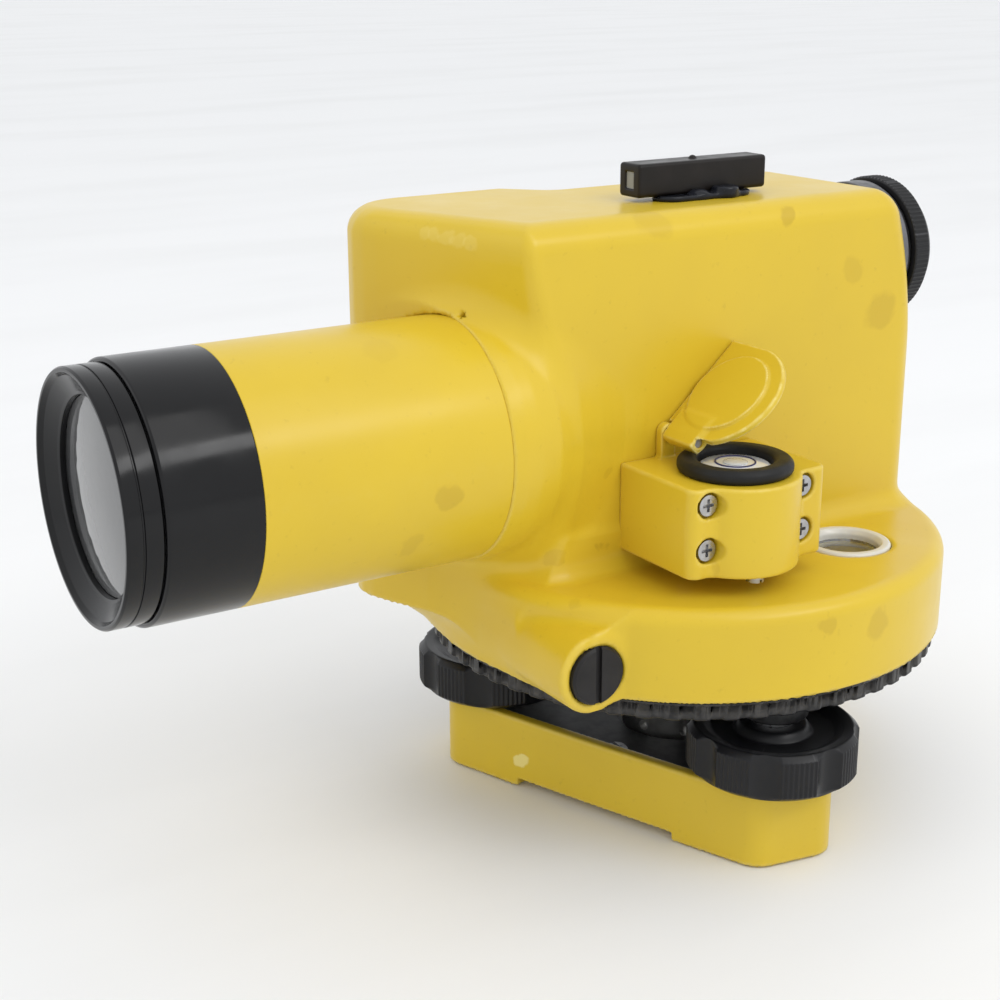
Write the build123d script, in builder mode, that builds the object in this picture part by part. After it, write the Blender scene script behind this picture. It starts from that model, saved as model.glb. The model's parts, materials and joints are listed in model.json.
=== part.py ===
"""Automatic level: base with three footscrews, horizontal circle, telescope with compensator."""
import os
from math import asin, cos, radians, sin

from build123d import *

# ---------------------------------------------------------------- driving dimensions (mm)
# Frame: origin on the tripod thread at the foot plane, +Z up, objective towards -Y,
# +X is the side that carries the circular level.
BASE_TURN = -9.8            # the base plate stands turned by this angle under the instrument
BASE_HEIGHT = 20.4
BASE_SIDE = 41.2            # axis to a long side
BASE_END = 64.07            # axis to a short end
BASE_CORNER = 7.2
THREAD_MINOR_R = 6.85       # 5/8 inch - 11 tripod thread, minor radius

SCREW_CIRCLE = 51.5         # radius on which the three footscrews stand
KNOB_R = 22.0
SPINDLE_R = 5.0

CIRCLE_BOTTOM = 43.5        # horizontal circle's hand ring
CIRCLE_R = 68.7
FLANGE_BOTTOM = 48.6
FLANGE_TOP = 72.0
FLANGE_R = 70.0
FLANGE_INNER_R = 65.6

TUBE_Z = 106.7              # sight line through the objective
TUBE_R = 30.4
TUBE_BORE = 26.5
TUBE_SEAT = -73.7           # where the tube meets the casting
BARREL_SEAT = -136.4        # where the black barrel meets the tube
EYE_Z = 141.0               # sight line through the eyepiece
BODY_TOP = 160.0
BODY_NEAR = 21.5            # side wall that carries the circular level
BODY_FAR_FRONT = -46.0      # the far side bulges out over the focusing drive
BODY_FAR_REAR = -35.0
BODY_REAR = 64.0
WALL = 3.5

WORM_Y = -60.0
WORM_Z = 56.5
FOCUS_Y = -45.0
FOCUS_Z = 111.15
VIAL_X = 41.5
VIAL_Y = -16.8
BRACKET_TOP = 99.5
MIRROR_Y = -24.0            # folding mirror's hinge line, parallel to X
MIRROR_Z = 106.0
MIRROR_TILT = 42.0
WINDOW_X = 38.2
WINDOW_Y = 24.8
SCREW_ANGLES = [BASE_TURN + 120 * k for k in range(3)]
SCREW_POINTS = [(SCREW_CIRCLE * cos(radians(a)), SCREW_CIRCLE * sin(radians(a))) for a in SCREW_ANGLES]

BODY_PLAN = [                # plan corner, corner radius
    ((BODY_NEAR, -64.5), 8.0),
    ((BODY_FAR_FRONT, -92.1), 18.0),
    ((BODY_FAR_FRONT, -31.0), 4.0),
    ((BODY_FAR_REAR, -21.0), 4.0),
    ((BODY_FAR_REAR, BODY_REAR), 18.0),
    ((BODY_NEAR, BODY_REAR), 8.0),
]


# ---------------------------------------------------------------- helpers
def facing_y(y, z=TUBE_Z, x=0.0):
    """Plane across the telescope, its normal towards the eyepiece."""
    return Plane(origin=(x, y, z), x_dir=(1, 0, 0), z_dir=(0, 1, 0))


def facing_x(x, y=0.0, z=0.0):
    """Plane with local x along +Y and local y along +Z, its normal along +X."""
    return Plane(origin=(x, y, z), x_dir=(0, 1, 0), z_dir=(1, 0, 0))


def disc(plane, radius, height, mode=Mode.ADD):
    """Cylinder that grows from a plane."""
    with BuildSketch(plane) as face:
        Circle(radius)
    extrude(face.sketch, amount=height, mode=mode)


def slab(plane, width, depth, height, mode=Mode.ADD):
    """Box that grows from a plane."""
    with BuildSketch(plane) as face:
        Rectangle(width, depth)
    extrude(face.sketch, amount=height, mode=mode)


def turn(points, plane, axis, mode=Mode.ADD):
    """Turned shape from (along, radius) corners."""
    with BuildSketch(plane) as section:
        with BuildLine():
            Polyline(*points, close=True)
        make_face()
    revolve(section.sketch, axis=axis, mode=mode)


def turn_z(points, mode=Mode.ADD, x=0.0, y=0.0):
    """Turned about a vertical axis from (radius, height) corners."""
    turn(points, Plane(origin=(x, y, 0), x_dir=(1, 0, 0), z_dir=(0, -1, 0)), Axis((x, y, 0), (0, 0, 1)), mode)


def turn_y(points, z=TUBE_Z, mode=Mode.ADD):
    """Turned about a sight line from (y, radius) corners."""
    turn(points, facing_x(0, 0, z), Axis((0, 0, z), (0, 1, 0)), mode)


def lens(y_front, y_back, radius, bulge_front, bulge_back, z=TUBE_Z):
    """Round lens: edge between y_front and y_back, each face bulging outwards by its sagitta."""
    with BuildSketch(facing_x(0, 0, z)) as section:
        with BuildLine():
            Line((y_front - bulge_front, 0), (y_back + bulge_back, 0))
            cap_arc(y_back, radius, bulge_back)
            Line((y_back, radius), (y_front, radius))
            cap_arc(y_front, radius, -bulge_front)
        make_face()
    revolve(section.sketch, axis=Axis((0, 0, z), (0, 1, 0)))


def cap_arc(y, radius, bulge):
    """Lens face from its rim to its pole; the bulge is signed along +Y."""
    side = 1 if bulge > 0 else -1
    face_radius = (radius**2 + bulge**2) / (2 * abs(bulge))
    centre = y + bulge - side * face_radius
    half_angle = asin(radius / face_radius) / 2
    middle = (centre + side * face_radius * cos(half_angle), face_radius * sin(half_angle))
    ThreePointArc((y, radius), middle, (y + bulge, 0))


def body_plan(inset=0.0):
    """Plan outline of the upper casting, drawn as a face in the open sketch."""
    with BuildSketch() as plan:
        with BuildLine():
            Polyline(*[corner for corner, _ in BODY_PLAN], close=True)
        make_face()
        for corner, radius in BODY_PLAN:
            fillet(plan.vertices().sort_by_distance((corner[0], corner[1], 0))[0], radius)
        if inset:
            offset(amount=-inset, mode=Mode.REPLACE)
    return plan.sketch


def base_plan(inset=0.0):
    """Plan outline of the base: a triangle with cut corners and slightly bowed long sides."""
    half_end = (BASE_SIDE - BASE_END * cos(radians(60))) / sin(radians(60))
    ends = []
    for angle in SCREW_ANGLES:
        c, s = cos(radians(angle)), sin(radians(angle))
        for side in (-half_end, half_end):
            ends.append((BASE_END * c - side * s, BASE_END * s + side * c))
    with BuildSketch() as plan:
        with BuildLine():
            for k in range(3):
                Line(ends[2 * k], ends[2 * k + 1])
                SagittaArc(ends[2 * k + 1], ends[(2 * k + 2) % 6], -0.7)
        make_face()
        fillet(plan.vertices(), BASE_CORNER)
        if inset:
            offset(amount=-inset, mode=Mode.REPLACE)
    return plan.sketch


def at_height(sketch, height):
    """The same flat sketch lifted to a height."""
    return Pos(0, 0, height) * sketch


def hand_knob(plane, radius, length, bore, flutes, flute_r, depth):
    """Turned knob with grip flutes round its rim."""
    disc(plane, radius, length)
    chamfer(faces(Select.ALL).filter_by(GeomType.PLANE).edges(), 0.8)
    with BuildSketch(plane.offset(-1)) as grip:
        with PolarLocations(radius - depth + flute_r, flutes):
            Circle(flute_r)
    extrude(grip.sketch, amount=length + 2, mode=Mode.SUBTRACT)
    disc(plane.offset(2), bore, length, Mode.SUBTRACT)


def finish(name, builder):
    """Name a sub-part and write it to its own file."""
    builder.part.label = name
    export_step(builder.part, f"parts/{name}.step")


os.makedirs("parts", exist_ok=True)

# ---------------------------------------------------------------- base
RIM = 3.6
RECESS_FLOOR = 12.0
SPRING_PLATE = 1.6
BUSH_TOP = 20.5
BALL_R = 5.2
NECK_R = 3.6
recess_plan = base_plan(RIM)
spring_plan = base_plan(RIM + 0.4)

with BuildPart() as base_plate:
    extrude(base_plan(), amount=BASE_HEIGHT)
    chamfer(base_plate.faces().sort_by(Axis.Z)[-1].edges(), 0.6)
    extrude(at_height(recess_plan, RECESS_FLOOR), amount=10, mode=Mode.SUBTRACT)
    with PolarLocations(BASE_SIDE - 14, 3, BASE_TURN + 60):      # relief between the three feet
        Box(40, 50, 2.2, align=(Align.CENTER, Align.CENTER, Align.MIN), mode=Mode.SUBTRACT)
    disc(Plane.XY, 13.0, BASE_HEIGHT, Mode.SUBTRACT)
    for x, y in SCREW_POINTS:                                    # seats of the footscrew balls
        disc(Plane((x, y, 1.8)), BALL_R + 0.3, BASE_HEIGHT, Mode.SUBTRACT)
    with BuildSketch(Plane.XY.offset(RECESS_FLOOR - 8)):
        with PolarLocations(30, 3, BASE_TURN + 60):
            Circle(1.5)
    extrude(amount=8, mode=Mode.SUBTRACT)
finish("base_plate", base_plate)

with BuildPart() as tripod_bush:
    turn_z([(THREAD_MINOR_R, 0), (13, 0), (13, RECESS_FLOOR), (11.5, RECESS_FLOOR), (11.5, BUSH_TOP),
            (THREAD_MINOR_R, BUSH_TOP)])
finish("tripod_bush", tripod_bush)

with BuildPart() as capstan_ring:
    turn_z([(11.5, RECESS_FLOOR), (15.2, RECESS_FLOOR), (15.2, 19.2), (14.6, 19.8), (11.5, 19.8)])
    for k in range(8):
        angle = radians(45 * k + 16)
        tommy_hole = Plane(origin=(13 * cos(angle), 13 * sin(angle), 15.4), z_dir=(cos(angle), sin(angle), 0))
        disc(tommy_hole, 1.4, 5, Mode.SUBTRACT)
finish("capstan_ring", capstan_ring)

with BuildPart() as spring_plate:
    extrude(at_height(spring_plan, RECESS_FLOOR), amount=SPRING_PLATE)
    disc(Plane.XY, 17.0, BASE_HEIGHT, Mode.SUBTRACT)
    for x, y in SCREW_POINTS:
        disc(Plane((x, y, 0)), NECK_R + 0.6, BASE_HEIGHT, Mode.SUBTRACT)
    with BuildSketch(Plane.XY):
        with PolarLocations(30, 3, BASE_TURN + 60):
            Circle(1.5)
    extrude(amount=BASE_HEIGHT, mode=Mode.SUBTRACT)
finish("spring_plate", spring_plate)

with BuildPart() as spring_plate_screws:
    for angle in SCREW_ANGLES:
        x, y = 30 * cos(radians(angle + 60)), 30 * sin(radians(angle + 60))
        top = RECESS_FLOOR + SPRING_PLATE
        turn_z([(0, top - 8), (1.5, top - 8), (1.5, top), (3.0, top), (3.0, top + 0.9), (2.2, top + 1.7),
                (0, top + 1.7)], x=x, y=y)
        slab(Plane((x, y, top + 1.1)), 6, 0.8, 2, Mode.SUBTRACT)
finish("spring_plate_screws", spring_plate_screws)

# ---------------------------------------------------------------- footscrews
KNOB_BOTTOM = 21.2
KNOB_TOP = 34.2
FLUTE_R = 6.65
FLUTE_DEPTH = 1.8

for letter, (x, y) in zip("abc", SCREW_POINTS):
    with BuildPart() as footscrew_knob:
        turn_z([(SPINDLE_R, KNOB_BOTTOM), (19.5, KNOB_BOTTOM), (KNOB_R, KNOB_BOTTOM + 2.0), (KNOB_R, KNOB_TOP - 2.2),
                (20.0, KNOB_TOP - 0.6), (17.5, KNOB_TOP - 1.4), (9.5, KNOB_TOP - 2.4), (8.0, KNOB_TOP),
                (SPINDLE_R, KNOB_TOP)], x=x, y=y)
        with BuildSketch(Plane((x, y, KNOB_BOTTOM - 1))) as flutes:
            with PolarLocations(KNOB_R - FLUTE_DEPTH + FLUTE_R, 8):
                Circle(FLUTE_R)
        extrude(flutes.sketch, amount=16, mode=Mode.SUBTRACT)
    finish(f"footscrew_knob_{letter}", footscrew_knob)

    with BuildPart() as footscrew_spindle:
        turn_z([(0, 8), (NECK_R, 8), (NECK_R, 17), (SPINDLE_R, 18.4), (SPINDLE_R, 46.6), (4.2, 47.2), (0, 47.2)],
               x=x, y=y)
        with Locations((x, y, 7.4)):
            Sphere(BALL_R)
    finish(f"footscrew_spindle_{letter}", footscrew_spindle)

# ---------------------------------------------------------------- tribrach
PLATE_BOTTOM = 43.3
PLATE_TOP = 47.6
HUB_R = 36.0
SLEEVE_R = 12.0
SPINDLE_BORE = 9.05

with BuildPart() as tribrach_plate:
    turn_z([(SLEEVE_R, PLATE_BOTTOM), (62.5, PLATE_BOTTOM), (62.5, PLATE_TOP), (HUB_R, PLATE_TOP), (HUB_R, 52),
            (SLEEVE_R, 52)])
    for x, y in SCREW_POINTS:
        disc(Plane((x, y, 40)), 8.8, 12, Mode.SUBTRACT)
finish("tribrach_plate", tribrach_plate)

with BuildPart() as footscrew_bushes:
    for x, y in SCREW_POINTS:
        turn_z([(SPINDLE_R + 0.06, 36.4), (8.4, 36.4), (8.8, 37.0), (8.8, PLATE_TOP), (SPINDLE_R + 0.06, PLATE_TOP)],
               x=x, y=y)
finish("footscrew_bushes", footscrew_bushes)

with BuildPart() as bearing_sleeve:
    turn_z([(SPINDLE_BORE, 34.5), (SLEEVE_R, 34.5), (SLEEVE_R, 55), (SPINDLE_BORE, 55)])
finish("bearing_sleeve", bearing_sleeve)

with BuildPart() as thrust_balls:
    with PolarLocations(10.5, 12):
        with Locations((0, 0, 56.55)):
            Sphere(1.5)
finish("thrust_balls", thrust_balls)

# ---------------------------------------------------------------- horizontal circle
NOTCHES = 60

with BuildPart() as circle_ring:
    turn_z([(63.5, CIRCLE_BOTTOM), (CIRCLE_R - 0.5, CIRCLE_BOTTOM), (CIRCLE_R, CIRCLE_BOTTOM + 0.5),
            (CIRCLE_R, 48.2), (65.2, 48.2), (65.2, 51.2), (HUB_R + 0.06, 51.2), (HUB_R + 0.06, 50), (63.5, 50)])
    with BuildSketch(Plane.XY.offset(CIRCLE_BOTTOM - 1)) as grips:
        with PolarLocations(CIRCLE_R, NOTCHES):
            Rectangle(1.5, 3.4)
    extrude(grips.sketch, amount=5, mode=Mode.SUBTRACT)
finish("circle_ring", circle_ring)

with BuildPart() as circle_scale:
    turn_z([(39, 51.2), (52, 51.2), (52, 51.8), (39, 51.8)])
finish("circle_scale", circle_scale)

# ---------------------------------------------------------------- instrument casting
FLOOR_TOP = 70.0
CEILING = 66.0               # underside of the floor, over the horizontal circle
SPINDLE_SEAT = 60.5
COLLAR_R = 52.4
COVER_Y = 18.0                # adjustment cover on the far side wall
COVER_Z = 112.0
EYE_SEAT = 62.0
TILTED_REAR = [(BODY_REAR, 129), (BODY_REAR + 20, 129), (BODY_REAR + 20, 170), (51.6, 170)]
TILTED_ROOM = [(y - WALL, z - 1) for y, z in TILTED_REAR]

with BuildPart() as room:
    extrude(at_height(body_plan(WALL), FLOOR_TOP), amount=BODY_TOP - WALL - FLOOR_TOP)
    with BuildSketch(Plane.YZ) as rear_cut:
        Polygon(*TILTED_ROOM, align=None)
    extrude(rear_cut.sketch, amount=60, both=True, mode=Mode.SUBTRACT)

with BuildPart() as housing:
    disc(Plane.XY.offset(FLANGE_BOTTOM), FLANGE_R, FLANGE_TOP - FLANGE_BOTTOM)
    fillet(housing.edges().group_by(Axis.Z)[-1], 4)
    extrude(at_height(body_plan(), FLANGE_TOP - 10), amount=BODY_TOP - FLANGE_TOP + 10)
    fillet(housing.faces().sort_by(Axis.Z)[-1].edges(), 7)
    with BuildSketch(Plane.YZ) as rear_slant:
        Polygon(*TILTED_REAR, align=None)
    extrude(rear_slant.sketch, amount=60, both=True, mode=Mode.SUBTRACT)
    turn_y([(TUBE_SEAT, 0), (TUBE_SEAT, TUBE_R), (-62, 31.2), (-52, 33), (-40, 30), (-40, 0)])
    disc(facing_x(-47.4, WORM_Y, WORM_Z), 10, 92.4)
    with BuildSketch(facing_x(-34)) as fairing:
        Polygon((-66, 64), (-60, 66.5), (-52, 80), (-30, 80), (-30, 56), (-62, 56), align=None)
    extrude(fairing.sketch, amount=54)
    disc(Plane.XY.offset(40), 69.4, FLANGE_BOTTOM - 40, Mode.SUBTRACT)
    disc(Plane.XY.offset(40), FLANGE_INNER_R, CEILING - 40, Mode.SUBTRACT)
    turn_z([(0, SPINDLE_SEAT), (22, SPINDLE_SEAT), (22, CEILING), (0, CEILING)])
    turn_z([(COLLAR_R - 2.4, 54), (COLLAR_R, 54), (COLLAR_R, CEILING), (COLLAR_R - 2.4, CEILING)])
    add(room.part, mode=Mode.SUBTRACT)
    disc(facing_y(-100), TUBE_R + 0.1, 100 + TUBE_SEAT, Mode.SUBTRACT)
    disc(facing_y(-80), TUBE_BORE, 20, Mode.SUBTRACT)
    disc(facing_y(-80), 18, 40, Mode.SUBTRACT)
    disc(facing_y(EYE_SEAT, EYE_Z), 20.2, 12, Mode.SUBTRACT)
    disc(facing_y(50, EYE_Z), 18.7, 24, Mode.SUBTRACT)
    disc(Plane((WINDOW_X, WINDOW_Y, 69)), 11.8, 10, Mode.SUBTRACT)
    disc(Plane((WINDOW_X, WINDOW_Y, 40)), 8.4, 40, Mode.SUBTRACT)
    disc(facing_x(BODY_FAR_FRONT - 2, FOCUS_Y, FOCUS_Z), 12, 3)
    disc(facing_x(-60, FOCUS_Y, FOCUS_Z), 2.56, 25, Mode.SUBTRACT)
    disc(facing_x(-50, WORM_Y, WORM_Z), 3.66, 100, Mode.SUBTRACT)
    disc(facing_x(42.6, WORM_Y, WORM_Z), 7.4, 10, Mode.SUBTRACT)
    slab(facing_x(BODY_FAR_REAR - 4, COVER_Y, COVER_Z), 42, 48, 10, Mode.SUBTRACT)
    with BuildSketch(facing_x(BODY_FAR_REAR - 4, COVER_Y, COVER_Z)) as cover_holes:
        with GridLocations(46, 52, 2, 2):
            Circle(1.2)
    extrude(cover_holes.sketch, amount=8, mode=Mode.SUBTRACT)
    with BuildSketch(facing_x(10, -17.25, 89.65)) as bracket_holes:
        with GridLocations(29.5, 11.3, 2, 2):
            Circle(1.6)
    extrude(bracket_holes.sketch, amount=15, mode=Mode.SUBTRACT)
    disc(Plane((-4, -70, 132)), 1.2, 10, Mode.SUBTRACT)
finish("housing", housing)

with BuildPart() as vertical_spindle:
    turn_z([(0, 33.5), (8.4, 33.5), (9, 34.1), (9, 58.1), (21.5, 58.1), (21.5, SPINDLE_SEAT), (0, SPINDLE_SEAT)])
finish("vertical_spindle", vertical_spindle)

with BuildPart() as side_cover:
    slab(facing_x(BODY_FAR_REAR - 2, COVER_Y, COVER_Z), 54, 60, 2)
    fillet(side_cover.edges().filter_by(Axis.X), 5)
    chamfer(side_cover.faces().sort_by(Axis.X)[0].edges(), 0.5)
    with BuildSketch(facing_x(BODY_FAR_REAR - 3, COVER_Y, COVER_Z)) as cover_bores:
        with GridLocations(46, 52, 2, 2):
            Circle(1.2)
    extrude(cover_bores.sketch, amount=4, mode=Mode.SUBTRACT)
finish("side_cover", side_cover)

with BuildPart() as cover_screws:
    for y in (COVER_Y - 23, COVER_Y + 23):
        for z in (COVER_Z - 26, COVER_Z + 26):
            disc(facing_x(BODY_FAR_REAR - 3.5, y, z), 2.3, 1.5)
            disc(facing_x(BODY_FAR_REAR - 2, y, z), 1.2, 4.5)
            slab(facing_x(BODY_FAR_REAR - 3.5, y, z), 0.7, 6, 0.8, Mode.SUBTRACT)
finish("cover_screws", cover_screws)

# ---------------------------------------------------------------- tangent screw
WHEEL_R = 56.2
WHEEL_TEETH = 140
WORM_R = 3.6

with BuildPart() as worm_shaft:
    with BuildSketch(Plane(origin=(0, WORM_Y, WORM_Z), x_dir=(1, 0, 0), z_dir=(0, 1, 0))) as worm_section:
        with BuildLine():
            outline = [(-58, 0), (-58, WORM_R)]
            for k in range(-5, 6):
                outline += [(2.5 * k - 0.9, WORM_R), (2.5 * k - 0.3, 2.6), (2.5 * k + 0.3, 2.6), (2.5 * k + 0.9, WORM_R)]
            outline += [(42.4, WORM_R), (42.4, 0)]
            Polyline(*outline, close=True)
        make_face()
    revolve(worm_section.sketch, axis=Axis((0, WORM_Y, WORM_Z), (1, 0, 0)))
finish("worm_shaft", worm_shaft)

with BuildPart() as worm_wheel:
    with BuildSketch(Plane.XY.offset(54.5)) as wheel_outline:
        with BuildLine():
            pitch = 360 / WHEEL_TEETH
            rim = []
            for k in range(WHEEL_TEETH):
                for part, radius in ((0, WHEEL_R - 1), (0.25, WHEEL_R - 1), (0.4, WHEEL_R), (0.85, WHEEL_R)):
                    turn_angle = radians(pitch * (k + part))
                    rim.append((radius * cos(turn_angle), radius * sin(turn_angle)))
            Polyline(*rim, close=True)
        make_face()
        Circle(COLLAR_R + 0.08, mode=Mode.SUBTRACT)
    extrude(wheel_outline.sketch, amount=4)
finish("worm_wheel", worm_wheel)

with BuildPart() as tangent_knob:
    hand_knob(facing_x(-60, WORM_Y, WORM_Z), 8.5, 12.0, WORM_R, 16, 1.6, 0.7)
finish("tangent_knob", tangent_knob)

with BuildPart() as tangent_cap:
    disc(facing_x(42.8, WORM_Y, WORM_Z), 7.35, 3.6)
    chamfer(tangent_cap.faces().sort_by(Axis.X)[-1].edges(), 0.6)
    cap_slot = facing_x(45.2, WORM_Y, WORM_Z).rotated((0, 0, -8))
    slab(cap_slot, 1.7, 20, 4, Mode.SUBTRACT)
finish("tangent_cap", tangent_cap)

# ---------------------------------------------------------------- telescope
LENS_R = 24.0
LENS_SEAT_R = 24.1
RING_R = 29.4
GUIDE_BORE = 15.1

with BuildPart() as telescope_tube:
    turn_y([(BARREL_SEAT, TUBE_BORE), (BARREL_SEAT, TUBE_R), (TUBE_SEAT, TUBE_R), (TUBE_SEAT, TUBE_BORE - 0.1),
            (-60.2, TUBE_BORE - 0.1), (-60.2, 24), (-76, 24), (-76, TUBE_BORE)])
finish("telescope_tube", telescope_tube)

with BuildPart() as objective_barrel:
    turn_y([(-158.6, 28.5), (-158.6, 30.0), (-158.2, TUBE_R), (BARREL_SEAT, TUBE_R), (BARREL_SEAT, TUBE_BORE),
            (-147, TUBE_BORE), (-147, LENS_SEAT_R), (-156.3, LENS_SEAT_R), (-156.3, 28.5)])
finish("objective_barrel", objective_barrel)

with BuildPart() as front_ring:
    turn_y([(-167.1, 27.6), (-167.1, 29.0), (-166.7, RING_R), (-159.0, RING_R), (-159.0, 28.4), (-156.5, 28.4),
            (-156.5, LENS_SEAT_R), (-160.6, LENS_SEAT_R), (-161.2, 22.5), (-162.0, 22.5), (-166.4, 27.2)])
finish("front_ring", front_ring)

with BuildPart() as crown_lens:
    lens(-160.4, -154.6, LENS_R, 1.6, 0.7)
finish("crown_lens", crown_lens)

with BuildPart() as flint_lens:
    lens(-154.3, -150.0, LENS_R, -0.9, -0.8)
finish("flint_lens", flint_lens)

with BuildPart() as focus_guide:
    turn_y([(-73, GUIDE_BORE), (-73, 23.9), (-69, 23.9), (-69, 17.5), (-24, 17.5), (-24, GUIDE_BORE)])
    slab(Plane((-16, -43, 105.7 - 1.8)), 8, 28, 3.6, Mode.SUBTRACT)
finish("focus_guide", focus_guide)

with BuildPart() as focus_cell:
    turn_y([(-62, 13), (-62, GUIDE_BORE - 0.06), (-36, GUIDE_BORE - 0.06), (-36, 13)])
    with Locations((-21.3, -43, 105.7)):
        Box(13, 6, 2.6)
    with Locations((-29.9, -45, 105.2)):
        Box(4.6, 20, 3.6)
    with BuildSketch(Plane((-29.9, -45, 106.3))) as rack_gaps:
        with GridLocations(1, 2, 1, 10):
            Rectangle(8, 0.9)
    extrude(rack_gaps.sketch, amount=2, mode=Mode.SUBTRACT)
finish("focus_cell", focus_cell)

with BuildPart() as focus_lens:
    lens(-52, -46, 13.0, -1.6, -1.6)
finish("focus_lens", focus_lens)

with BuildPart() as pinion_shaft:
    disc(facing_x(-62, FOCUS_Y, FOCUS_Z), 2.5, 35)
    disc(facing_x(-32, FOCUS_Y, FOCUS_Z), 4.0, 5)
    with BuildSketch(facing_x(-32.5, FOCUS_Y, FOCUS_Z)) as tooth_gaps:
        with PolarLocations(4.0, 12):
            Rectangle(1.6, 0.9)
    extrude(tooth_gaps.sketch, amount=6, mode=Mode.SUBTRACT)
finish("pinion_shaft", pinion_shaft)

with BuildPart() as focus_knob:
    hand_knob(facing_x(-64, FOCUS_Y, FOCUS_Z), 15.0, 15.5, 2.5, 24, 1.8, 0.8)
finish("focus_knob", focus_knob)

# ---------------------------------------------------------------- compensator and erecting optics
COMP_Y = 12.0

with BuildPart() as compensator_frame:
    with Locations((0, 23, FLOOR_TOP + 1.5)):
        Box(34, 58, 3)
    with Locations((-15.75, COMP_Y, 102), (15.75, COMP_Y, 102)):
        Box(2.5, 20, 58)
    with Locations((0, COMP_Y, 132.5)):
        Box(34, 20, 3)
    with Locations((-10.1, 42.5, 92.5), (10.1, 42.5, 92.5)):
        Box(1.8, 13, 39)
    turn_z([(8.4, 73), (10.4, 73), (10.4, 90), (8.4, 90)], y=COMP_Y)
finish("compensator_frame", compensator_frame)

with BuildPart() as suspension_wires:
    with Locations((0, COMP_Y, 128.3)):
        with GridLocations(16, 12, 2, 2):
            Cylinder(0.35, 2.7, align=(Align.CENTER, Align.CENTER, Align.MIN))
finish("suspension_wires", suspension_wires)

with BuildPart() as pendulum:
    with Locations((0, COMP_Y, 126.75)):
        Box(22, 16, 2.5)
    with Locations((-10.25, COMP_Y, 111.25), (10.25, COMP_Y, 111.25)):
        Box(1.5, 16, 28.5)
    with Locations((0, COMP_Y, 96)):
        Box(22, 16, 2)
    disc(Plane((0, COMP_Y, 87)), 2.0, 9)
    disc(Plane((0, COMP_Y, 83)), 7.4, 4)
finish("pendulum", pendulum)

with BuildPart() as pendulum_prism:
    with BuildSketch(facing_x(-9)) as prism_section:
        Polygon((5, 97), (19, 97), (17.5, 114), (6.5, 114), align=None)
    extrude(prism_section.sketch, amount=18)
finish("pendulum_prism", pendulum_prism)

with BuildPart() as rear_prism:
    with BuildSketch(facing_x(-8.9)) as rhomb:
        Polygon((34.5, 98.2), (51, 114.7), (51, 149.5), (34.5, 133), align=None)
    extrude(rhomb.sketch, amount=17.8)
finish("rear_prism", rear_prism)

with BuildPart() as reticle:
    disc(facing_y(51.8, EYE_Z), 12.0, 2.0)
finish("reticle", reticle)

# ---------------------------------------------------------------- eyepiece
with BuildPart() as eyepiece_bush:
    turn_y([(54.2, 12.4), (54.2, 18.6), (60.4, 18.6), (62.2, 17.6), (62.2, 12.4)], EYE_Z)
finish("eyepiece_bush", eyepiece_bush)

with BuildPart() as dioptre_ring:
    turn_y([(62.5, 12.4), (62.5, 19.1), (63.1, 19.7), (67.1, 19.7), (67.5, 19.3), (67.5, 12.4)], EYE_Z)
finish("dioptre_ring", dioptre_ring)

with BuildPart() as eyecup:
    turn_y([(67.5, 13.9), (67.5, 18.2), (69.5, 17.4), (71.5, 15.0), (71.5, 13.9)], EYE_Z)
finish("eyecup", eyecup)

with BuildPart() as eyepiece_tube:
    turn_y([(56, 10.5), (56, 12.32), (69, 12.32), (69, 10.5)], EYE_Z)
finish("eyepiece_tube", eyepiece_tube)

with BuildPart() as eyepiece_lenses:
    lens(57.5, 59.5, 10.5, 0.8, 0.6, EYE_Z)
    lens(65.0, 67.0, 10.5, 0.8, 0.8, EYE_Z)
finish("eyepiece_lenses", eyepiece_lenses)

# ---------------------------------------------------------------- circle reading window
with BuildPart() as circle_window_bezel:
    turn_z([(8.5, 69), (11.7, 69), (11.7, 72.5), (9.6, 72.5), (8.5, 71.3)], x=WINDOW_X, y=WINDOW_Y)
finish("circle_window_bezel", circle_window_bezel)

with BuildPart() as circle_window:
    disc(Plane((WINDOW_X, WINDOW_Y, 67.5)), 8.35, 2.4)
finish("circle_window", circle_window)

# ---------------------------------------------------------------- circular level
BRACKET_FACE = 51.0
BRACKET_FRONT = -37.0
BRACKET_REAR = 5.0
BRACKET_BOTTOM = 77.0
SCREW_ROWS = (95.3, 84.0)
SCREW_COLUMNS = (-32.0, -2.5)

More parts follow.
